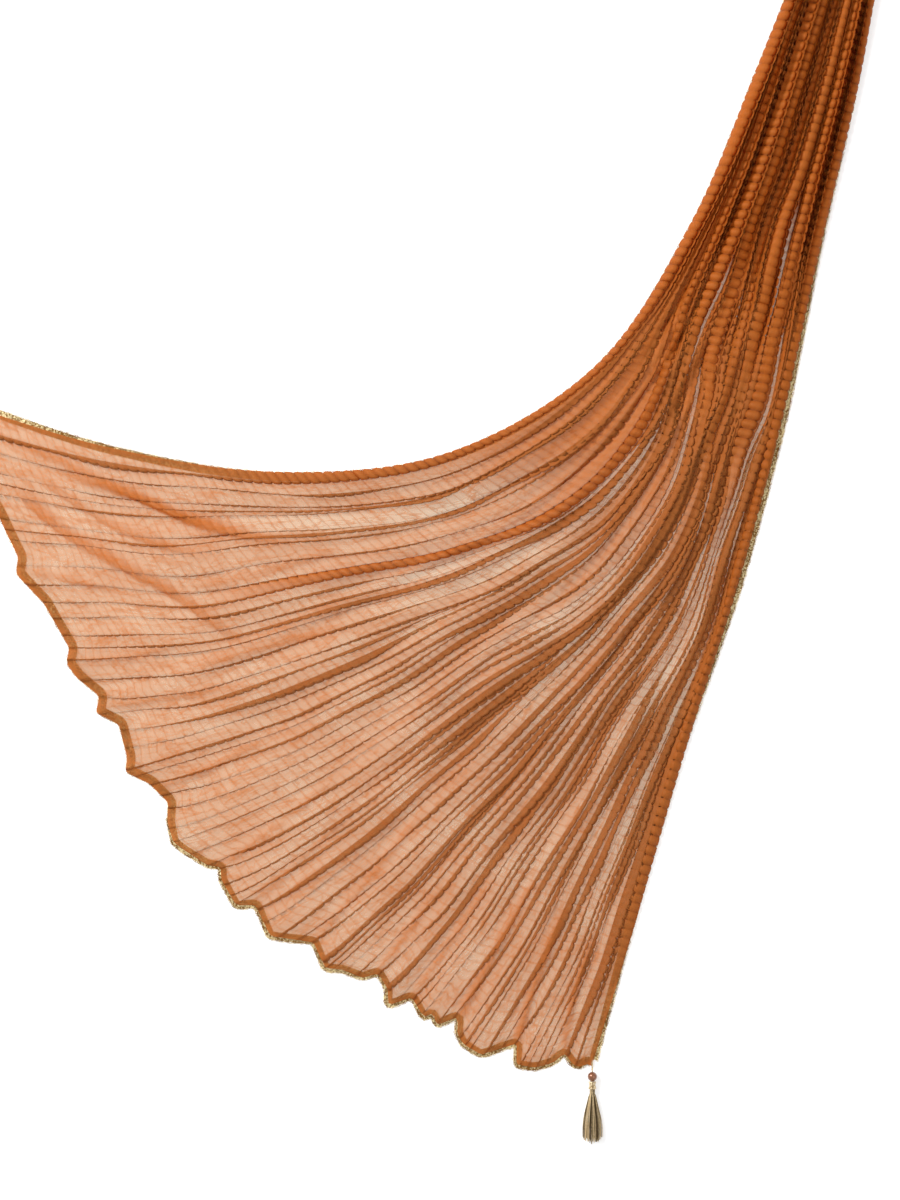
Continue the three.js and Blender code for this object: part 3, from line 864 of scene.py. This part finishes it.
def edge_line(side):
    """Points along a long edge of the cloth, the way out from it, and how far lace shows."""
    along = np.arange(LACE_START, LENGTH - LACE_START, LACE_STEP)
    share = 0.0 if side == "left" else 1.0
    points = ground(along, np.full(len(along), share))
    inner = ground(along, np.full(len(along), abs(share - 0.05)))
    lace = LEFT_LACE if side == "left" else RIGHT_LACE
    shows = np.interp(along / SECTION_STEP, range(len(lace)), lace)
    return points, outward(points, inner), shows


def hem_line(far):
    """Points along a hem, the way out from it, and how far lace shows past it."""
    shares = np.linspace(0.004, 0.997, FAR_HEM_STEPS if far else HEM_STEPS)
    along = np.full(len(shares), LENGTH if far else 0.0)
    points = ground(along + hem_out(along, shares), shares)
    out = outward(points, ground(np.abs(along - 60.0), shares))
    if far:
        return points, out, np.full(len(shares), FAR_HEM_LACE)
    shows = np.interp(shares, [row["at"] for row in HEM_LACE], [row["shows"] for row in HEM_LACE])
    return points, out, shows * (0.6 + 0.4 * fold_ridge(shares))


def ribbon(name, points, out, shows):
    """The woven band of the lace, a strip as wide as the tape that it stands for."""
    rng = np.random.default_rng(SEED + 9)
    rows = len(points)
    parts = np.array([-TAPE_WIDTH, -5.5, -3.0, -1.2, 0.0])
    ragged = 0.45 * rng.uniform(-1, 1, rows)
    reach = shows[:, None] + parts[None, :]
    reach[:, -1] += ragged
    place = points[:, None, :] + out[:, None, :] * reach[:, :, None]
    height = 0.55 + 0.3 * rng.uniform(-1, 1, (rows, len(parts)))
    grid = np.dstack([place, height])
    step = np.concatenate([[0], np.cumsum(np.linalg.norm(np.diff(points, axis=0), axis=1))])
    uv = np.dstack([np.broadcast_to(step[:, None], reach.shape), reach]) * MM
    return grid_mesh(name, grid, uv)


def picot_path(name, points, out, shows):
    """A line of edges along the outer edge of the lace, which the loops follow."""
    place = points + out * (shows + 0.1)[:, None]
    place = np.column_stack([place, np.full(len(place), 0.8)]) * MM + np.array(SHIFT)
    mesh = bpy.data.meshes.new(name)
    edges = [(i, i + 1) for i in range(len(place) - 1)]
    mesh.from_pydata([tuple(p) for p in place], edges, [])
    return new_object(name, mesh)


def node_group(name, floats, integers=()):
    """An empty geometry node group with a geometry socket and named number inputs."""
    group = bpy.data.node_groups.new(name, "GeometryNodeTree")
    face = group.interface
    face.new_socket("Geometry", in_out="INPUT", socket_type="NodeSocketGeometry")
    face.new_socket("Geometry", in_out="OUTPUT", socket_type="NodeSocketGeometry")
    for label, value in floats:
        socket = face.new_socket(label, in_out="INPUT", socket_type="NodeSocketFloat")
        socket.default_value = value
        socket.subtype = "DISTANCE"
    for label, value in integers:
        socket = face.new_socket(label, in_out="INPUT", socket_type="NodeSocketInt")
        socket.default_value = value
    return group, group.nodes.new("NodeGroupInput"), group.nodes.new("NodeGroupOutput")


def round_section(group, radius, resolution):
    values = {"Radius": radius, "Resolution": resolution}
    return add_node(group, "GeometryNodeCurvePrimitiveCircle", values).outputs[0]


def end_group(group, end, geometry, material):
    """Make a group's result real geometry in its material."""
    real = add_node(group, "GeometryNodeRealizeInstances", {0: geometry})
    values = {0: real.outputs[0], "Material": material}
    finish = add_node(group, "GeometryNodeSetMaterial", values)
    group.links.new(finish.outputs[0], end.inputs[0])


def picot_group(material):
    """Small thread loops stood along a path, each turned and sized a little differently."""
    group, start, end = node_group(
        "picot_loops", [("Spacing", 0.0022), ("Loop radius", 0.0009), ("Thread radius", 0.00028)],
        [("Seed", 4)],
    )
    curve = add_node(group, "GeometryNodeMeshToCurve", {0: start.outputs["Geometry"]})
    values = {"Curve": curve.outputs[0], "Length": start.outputs["Spacing"]}
    points = add_node(group, "GeometryNodeCurveToPoints", values, mode="LENGTH")
    loop = add_node(group, "GeometryNodeCurveToMesh", {
        "Curve": round_section(group, start.outputs["Loop radius"], 7),
        "Profile Curve": round_section(group, start.outputs["Thread radius"], 3),
    })
    seed = start.outputs["Seed"]
    turned = {"Min": (-0.7, -0.7, 0.0), "Max": (0.7, 0.7, 3.1), "Seed": seed}
    tilt = add_node(group, "FunctionNodeRandomValue", turned, data_type="FLOAT_VECTOR")
    size = add_node(group, "FunctionNodeRandomValue", {2: 0.6, 3: 1.25, "Seed": seed})
    place = add_node(group, "GeometryNodeInstanceOnPoints", {
        "Points": points.outputs["Points"], "Instance": loop.outputs[0],
        "Rotation": tilt.outputs[0], "Scale": size.outputs[1],
    })
    end_group(group, end, place.outputs[0], material)
    return group


def thread_group(material):
    """A round thread along every line of a mesh."""
    group, start, end = node_group("skirt_threads", [("Thread radius", 0.00028)])
    curve = add_node(group, "GeometryNodeMeshToCurve", {0: start.outputs["Geometry"]})
    tube = add_node(group, "GeometryNodeCurveToMesh", {
        "Fill Caps": True, "Curve": curve.outputs[0],
        "Profile Curve": round_section(group, start.outputs["Thread radius"], 4),
    })
    end_group(group, end, tube.outputs[0], material)
    return group


def apply_nodes(piece, group, values):
    """Run a node group on a piece and keep its result as plain mesh data."""
    modifier = piece.modifiers.new(group.name, "NODES")
    modifier.node_group = group
    for item in group.interface.items_tree:
        if item.item_type == "SOCKET" and item.in_out == "INPUT" and item.name in values:
            modifier[item.identifier] = values[item.name]
    bpy.context.view_layer.update()
    evaluated = piece.evaluated_get(bpy.context.evaluated_depsgraph_get())
    mesh = bpy.data.meshes.new_from_object(evaluated)
    piece.modifiers.clear()
    piece.data = mesh
    return piece


def join(name, parts):
    """Join mesh objects into one, which takes the name."""
    bpy.ops.object.select_all(action="DESELECT")
    for part in parts:
        part.select_set(True)
    bpy.context.view_layer.objects.active = parts[0]
    bpy.ops.object.join()
    piece = bpy.context.view_layer.objects.active
    piece.name = name
    return piece


def tassel_place(name, along, across, up):
    """A point of a tassel, from its length along the skirt's way, across it and its height."""
    row = TASSELS[name]
    way = Vector(row["way"]).normalized()
    side = Vector((-way.y, way.x))
    flat = Vector(row["bead"]) + way * along + side * across
    return Vector((flat.x, flat.y, up)) * MM + SHIFT


def tube_object(name, rings, soft=True):
    """A closed body through rings of points."""
    mesh = bmesh.new()
    rings = [[mesh.verts.new(place) for place in ring] for ring in rings]
    for a, b in zip(rings[:-1], rings[1:]):
        for k in range(len(a)):
            after = (k + 1) % len(a)
            mesh.faces.new((a[k], a[after], b[after], b[k]))
    mesh.faces.new(rings[0])
    mesh.faces.new(rings[-1])
    bmesh.ops.recalc_face_normals(mesh, faces=mesh.faces)
    data = bpy.data.meshes.new(name)
    mesh.to_mesh(data)
    mesh.free()
    for polygon in data.polygons:
        polygon.use_smooth = soft
    return new_object(name, data)


def lathe(name, tassel, profile, steps):
    """A closed body turned about the tassel's way."""
    angles = [2 * math.pi * k / steps for k in range(steps)]
    rings = [
        [tassel_place(tassel, along, radius * math.cos(a), BEAD_RADIUS + radius * math.sin(a))
         for a in angles]
        for along, radius in profile
    ]
    return tube_object(name, rings)


def bead_profile():
    """A round bead, cut flat in a small circle at both ends."""
    turns = [0.12 + (math.pi - 0.24) * k / 22 for k in range(23)]
    return [(-BEAD_RADIUS * math.cos(t), BEAD_RADIUS * math.sin(t)) for t in turns]


def cap_profile():
    """A bead cap of wound wire: a flared rim, wraps round the neck and a rolled lip."""
    profile = [(CAP_START, 0.8), (CAP_START, 3.4)]
    wraps = 6
    for k in range(wraps * 6 + 1):
        t = k / (wraps * 6)
        waist = 3.6 - 0.8 * math.sin(math.pi * min(t * 1.15, 1))
        coil = 0.28 * abs(math.sin(math.pi * wraps * t))
        profile.append((CAP_START + 0.3 + (CAP_LENGTH - 0.6) * t, min(waist + coil, CAP_RADIUS)))
    profile += [(CAP_START + CAP_LENGTH, 3.2), (CAP_START + CAP_LENGTH, 0.8)]
    return profile


def bead_string(tassel):
    """The doubled thread from the cloth's corner into the bead."""
    first = -BEAD_RADIUS - STRING_LENGTH
    last = -BEAD_RADIUS + 0.8
    angles = [2 * math.pi * k / 6 for k in range(6)]
    strands = []
    for turn in (0, math.pi):
        rings = []
        for j in range(STRING_STEPS + 1):
            t = j / STRING_STEPS
            along = first + (last - first) * t
            rise = 1.6 + (BEAD_RADIUS - 1.6) * smooth(0, 0.8, t)
            across = STRAND_TWIST * math.cos(9 * t + turn)
            up = rise + STRAND_TWIST * math.sin(9 * t + turn)
            rings.append([
                tassel_place(tassel, along, across + STRAND_RADIUS * math.cos(a),
                             up + STRAND_RADIUS * math.sin(a))
                for a in angles
            ])
        strands.append(tube_object("strand", rings, soft=False))
    return strands


def skirt_lines(tassel, number):
    """Lines for the threads of a skirt: bound tight at the neck, then fanning out flat."""
    rng = np.random.default_rng(SEED + 20 + number)
    points = []
    edges = []
    tones_and_shades = []
    for k in range(THREADS):
        # every three threads share a random value; low values give the painted shade of the skirt's
        # depth
        if k % 3 == 0:
            tone = rng.uniform(0, 1)
        angle = 2 * math.pi * (k + rng.uniform(0, 0.8)) / THREADS
        ring = math.sqrt(rng.uniform(0.25, 1.0))
        end = SKIRT_LENGTH - rng.uniform(0.0, 5.0) - 2.5 * abs(math.cos(angle))
        bow = rng.uniform(-0.7, 0.7)
        first = len(points)
        for j in range(THREAD_STEPS):
            t = j / (THREAD_STEPS - 1)
            bound = math.exp(-((t - 0.06) / 0.05) ** 2)
            opening = 2.3 + (SKIRT_RADIUS - 2.6) * smooth(-0.12, 0.85, t) - bound
            across = ring * opening * math.cos(angle) + bow * math.sin(5 * t + angle) * t
            thick = ring * opening * math.sin(angle) * SKIRT_FLATNESS
            laid = 0.5 + SKIRT_RADIUS * SKIRT_FLATNESS
            settle = BEAD_RADIUS + (laid - BEAD_RADIUS) * smooth(0, 1, t)
            up = max(settle + thick, 0.35)
            points.append(tuple(tassel_place(tassel, SKIRT_START + end * t, across, up)))
            tones_and_shades.append(tone)
            if j:
                edges.append((first + j - 1, first + j))
    mesh = bpy.data.meshes.new("threads")
    mesh.from_pydata(points, edges, [])
    attribute = mesh.attributes.new("tone", "FLOAT", "POINT")
    attribute.data.foreach_set("value", tones_and_shades)
    return new_object("threads_" + tassel, mesh)


def gold_material(name, pale, dark, scale):
    """Glittering metallic thread: small facets that differ in colour and in tilt."""
    material, tree = fresh_material(name)
    place = object_place(tree)
    facets = add_node(tree, "ShaderNodeTexVoronoi", {"Scale": scale, "Vector": place})
    grey = add_node(tree, "ShaderNodeRGBToBW", {0: facets.outputs["Color"]}).outputs[0]
    share = math_node(tree, "ADD", grey, noise(tree, place, 45, 3))
    share = math_node(tree, "MULTIPLY_ADD", share, 2.2, -1.75, clamp=True)
    bumps = {"Strength": 0.8, "Distance": 0.0006, "Height": grey}
    bump = add_node(tree, "ShaderNodeBump", bumps)
    surface(tree, add_node(tree, "ShaderNodeBsdfPrincipled", {
        "Metallic": 0.6, "Roughness": 0.28, "Normal": bump.outputs[0],
        "Base Color": mix_colour(tree, share, dark, pale),
    }))
    return material


def pearl_material():
    """Dyed glass pearl: copper brown under a clear glossy coat, with painted shade darkening it
    towards its rim.
    """
    material, tree = fresh_material("copper_pearl")
    cloud = noise(tree, object_place(tree), 260, 2)
    # painted shade: the colour darkens where the surface turns away from the camera
    rim = add_node(tree, "ShaderNodeLayerWeight", {"Blend": 0.35})
    body = mix_colour(tree, cloud, (0.26, 0.09, 0.035, 1), (0.34, 0.13, 0.055, 1))
    colour = mix_colour(tree, rim.outputs["Facing"], body, (0.12, 0.035, 0.012, 1))
    surface(tree, add_node(tree, "ShaderNodeBsdfPrincipled", {
        "Metallic": 0.35, "Roughness": 0.3, "Coat Weight": 0.8, "Coat Roughness": 0.08,
        "Base Color": colour,
    }))
    return material


def thread_material():
    """Lurex thread of the skirts, in random streaks from dark olive, a painted shade that stands for
    the skirt's depth, to pale gold.
    """
    material, tree = fresh_material("lurex_thread")
    streak = noise(tree, object_place(tree), 900, 2)
    tone = add_node(tree, "ShaderNodeAttribute", {}, attribute_name="tone")
    share = math_node(tree, "ADD", streak, tone.outputs["Fac"])
    share = math_node(tree, "MULTIPLY_ADD", share, 1.5, -1.0, clamp=True)
    # the dark olive end is painted shade, the pale gold end the thread's own colour
    colour = mix_colour(tree, share, (0.07, 0.04, 0.01, 1), (0.82, 0.63, 0.36, 1))
    values = {"Metallic": 0.45, "Roughness": 0.42, "Base Color": colour}
    surface(tree, add_node(tree, "ShaderNodeBsdfPrincipled", values))
    return material


# --- settings and operators --------------------------------------------------------------


class DupattaSettings(bpy.types.PropertyGroup):
    chiffon_opacity: FloatProperty(
        name="Chiffon opacity", description="Share of light that one flat layer stops",
        default=0.54, min=0.05, max=0.95, subtype="FACTOR",
    )
    thin_colour: FloatVectorProperty(
        name="Thin colour", description="Colour of one layer of the chiffon",
        default=(0.55, 0.2, 0.05), size=3, min=0, max=1, subtype="COLOR",
    )
    deep_colour: FloatVectorProperty(
        name="Deep colour", description="Colour of the chiffon where layers lie together",
        default=(0.6, 0.15, 0.012), size=3, min=0, max=1, subtype="COLOR",
    )
    loop_spacing: FloatProperty(
        name="Lace loop spacing", description="Distance between the loops along the lace",
        default=0.0022, min=0.0015, max=0.01, unit="LENGTH", precision=4,
    )
    thread_radius: FloatProperty(
        name="Thread radius", description="Radius of one thread of a tassel's skirt",
        default=0.00028, min=0.0001, max=0.001, unit="LENGTH", precision=5,
    )


class DUPATTA_OT_cloth(bpy.types.Operator):
    """Build the crinkled cloth in its stretches"""

    bl_idname = "dupatta.cloth"
    bl_label = "Crinkled cloth"

    def execute(self, context):
        settings = context.scene.dupatta
        material = chiffon_material(settings)
        for stretch in STRETCHES:
            piece = build_cloth(stretch)
            piece.data.materials.append(material)
            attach(piece, "root")
            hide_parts(stretch["node"])
        return {"FINISHED"}


class DUPATTA_OT_lace(bpy.types.Operator):
    """Sew the gold lace under the long edges and the hems"""

    bl_idname = "dupatta.lace"
    bl_label = "Gold lace edging"

    def execute(self, context):
        settings = context.scene.dupatta
        band = gold_material("gold_lace", (1.0, 0.83, 0.45, 1), (0.3, 0.13, 0.02, 1), 900)
        loops = picot_group(band)
        lines = {
            "tape_left_edge": edge_line("left"), "tape_right_edge": edge_line("right"),
            "tape_spread_hem": hem_line(False), "tape_far_hem": hem_line(True),
        }
        for node, (points, out, shows) in lines.items():
            strip = new_object(node + "_band", ribbon(node, points, out, shows))
            strip.data.materials.append(band)
            picots = picot_path(node + "_path", points, out, shows)
            apply_nodes(picots, loops, {"Spacing": settings.loop_spacing})
            piece = join(node + "_lace", [strip, picots])
            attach(piece, "root")
            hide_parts(node)
        return {"FINISHED"}


class DUPATTA_OT_tassels(bpy.types.Operator):
    """Make the pearl, the wound cap and the thread skirt at each corner"""

    bl_idname = "dupatta.tassels"
    bl_label = "Corner tassels"

    def execute(self, context):
        settings = context.scene.dupatta
        pearl = pearl_material()
        gold = gold_material("wound_gold", (0.95, 0.78, 0.5, 1), (0.25, 0.13, 0.03, 1), 1400)
        lurex = thread_material()
        threads = thread_group(lurex)
        for number, name in enumerate(TASSELS):
            bead = lathe("bead", name, bead_profile(), 40)
            bead.data.materials.append(pearl)
            strands = bead_string(name)
            for strand in strands:
                strand.data.materials.append(gold)
            bead = join("bead_" + name + "_pearl", [bead] + strands)
            cap = lathe("cap_" + name + "_wound", name, cap_profile(), 36)
            skirt = skirt_lines(name, number)
            apply_nodes(skirt, threads, {"Thread radius": settings.thread_radius})
            skirt.name = "skirt_" + name + "_threads"
            for piece, node, material, slot in (
                (bead, "bead_" + name, None, "pearl"),
                (cap, "cap_" + name, gold, "gold_cap"),
                (skirt, "skirt_" + name, None, "tassel_thread"),
            ):
                if material:
                    piece.data.materials.append(material)
                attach(piece, "root")
                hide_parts(node)
        return {"FINISHED"}


class DUPATTA_OT_stage(bpy.types.Operator):
    """Set the camera over the stole, the pale floor and the soft lights"""

    bl_idname = "dupatta.stage"
    bl_label = "Camera, floor and lights"

    def execute(self, context):
        scene = context.scene
        camera_data = bpy.data.cameras.new("camera")
        camera_data.lens = 85
        camera = bpy.data.objects.new("camera", camera_data)
        scene.collection.objects.link(camera)
        distance = PICTURE_HEIGHT * camera_data.lens / camera_data.sensor_width
        camera.location = (SHIFT[0], SHIFT[1], distance)
        camera_data.clip_end = 60
        scene.camera = camera

        floor_mesh = bpy.data.meshes.new("floor")
        signs = ((-1, -1), (1, -1), (1, 1), (-1, 1))
        corners = [(x * FLOOR_REACH, y * FLOOR_REACH, -FLOOR_DROP) for x, y in signs]
        floor_mesh.from_pydata(corners, [], [(0, 1, 2, 3)])
        floor = new_object("floor", floor_mesh)
        material, tree = fresh_material("pale_floor")
        paper = add_node(tree, "ShaderNodeBsdfDiffuse", {"Color": (0.85, 0.85, 0.85, 1)})
        lit = add_node(tree, "ShaderNodeEmission", {"Strength": 0.42})
        surface(tree, add_node(tree, "ShaderNodeAddShader", {0: paper.outputs[0], 1: lit.outputs[0]}))
        floor_mesh.materials.append(material)

        for row in LIGHTS:
            light_data = bpy.data.lights.new(row["name"], "AREA")
            light_data.size = row["size"]
            light_data.energy = row["power"]
            light = bpy.data.objects.new(row["name"], light_data)
            light.location = Vector(row["place"]) + SHIFT
            light.rotation_euler = (SHIFT - light.location).to_track_quat("-Z", "Y").to_euler()
            scene.collection.objects.link(light)

        world = bpy.data.worlds.new("studio")
        world.use_nodes = True
        background = world.node_tree.nodes["Background"]
        background.inputs[0].default_value = (1, 1, 1, 1)
        background.inputs[1].default_value = 0.5
        scene.world = world
        scene.view_settings.view_transform = "Standard"
        scene.cycles.transparent_max_bounces = 48
        return {"FINISHED"}


class DUPATTA_PT_panel(bpy.types.Panel):
    bl_label = "Dupatta"
    bl_idname = "DUPATTA_PT_panel"
    bl_space_type = "VIEW_3D"
    bl_region_type = "UI"
    bl_category = "Dupatta"

    def draw(self, context):
        settings = context.scene.dupatta
        names = ("chiffon_opacity", "thin_colour", "deep_colour", "loop_spacing", "thread_radius")
        for name in names:
            self.layout.prop(settings, name)
        for operator in (DUPATTA_OT_stage, DUPATTA_OT_cloth, DUPATTA_OT_lace, DUPATTA_OT_tassels):
            self.layout.operator(operator.bl_idname)


CLASSES = (
    DupattaSettings, DUPATTA_OT_stage, DUPATTA_OT_cloth, DUPATTA_OT_lace, DUPATTA_OT_tassels,
    DUPATTA_PT_panel,
)


def register():
    for cls in CLASSES:
        bpy.utils.register_class(cls)
    bpy.types.Scene.dupatta = PointerProperty(type=DupattaSettings)


def unregister():
    del bpy.types.Scene.dupatta
    for cls in reversed(CLASSES):
        bpy.utils.unregister_class(cls)


def main():
    register()
    bpy.ops.dupatta.stage()
    bpy.ops.dupatta.cloth()
    bpy.ops.dupatta.lace()
    bpy.ops.dupatta.tassels()


if __name__ == "__main__":
    main()
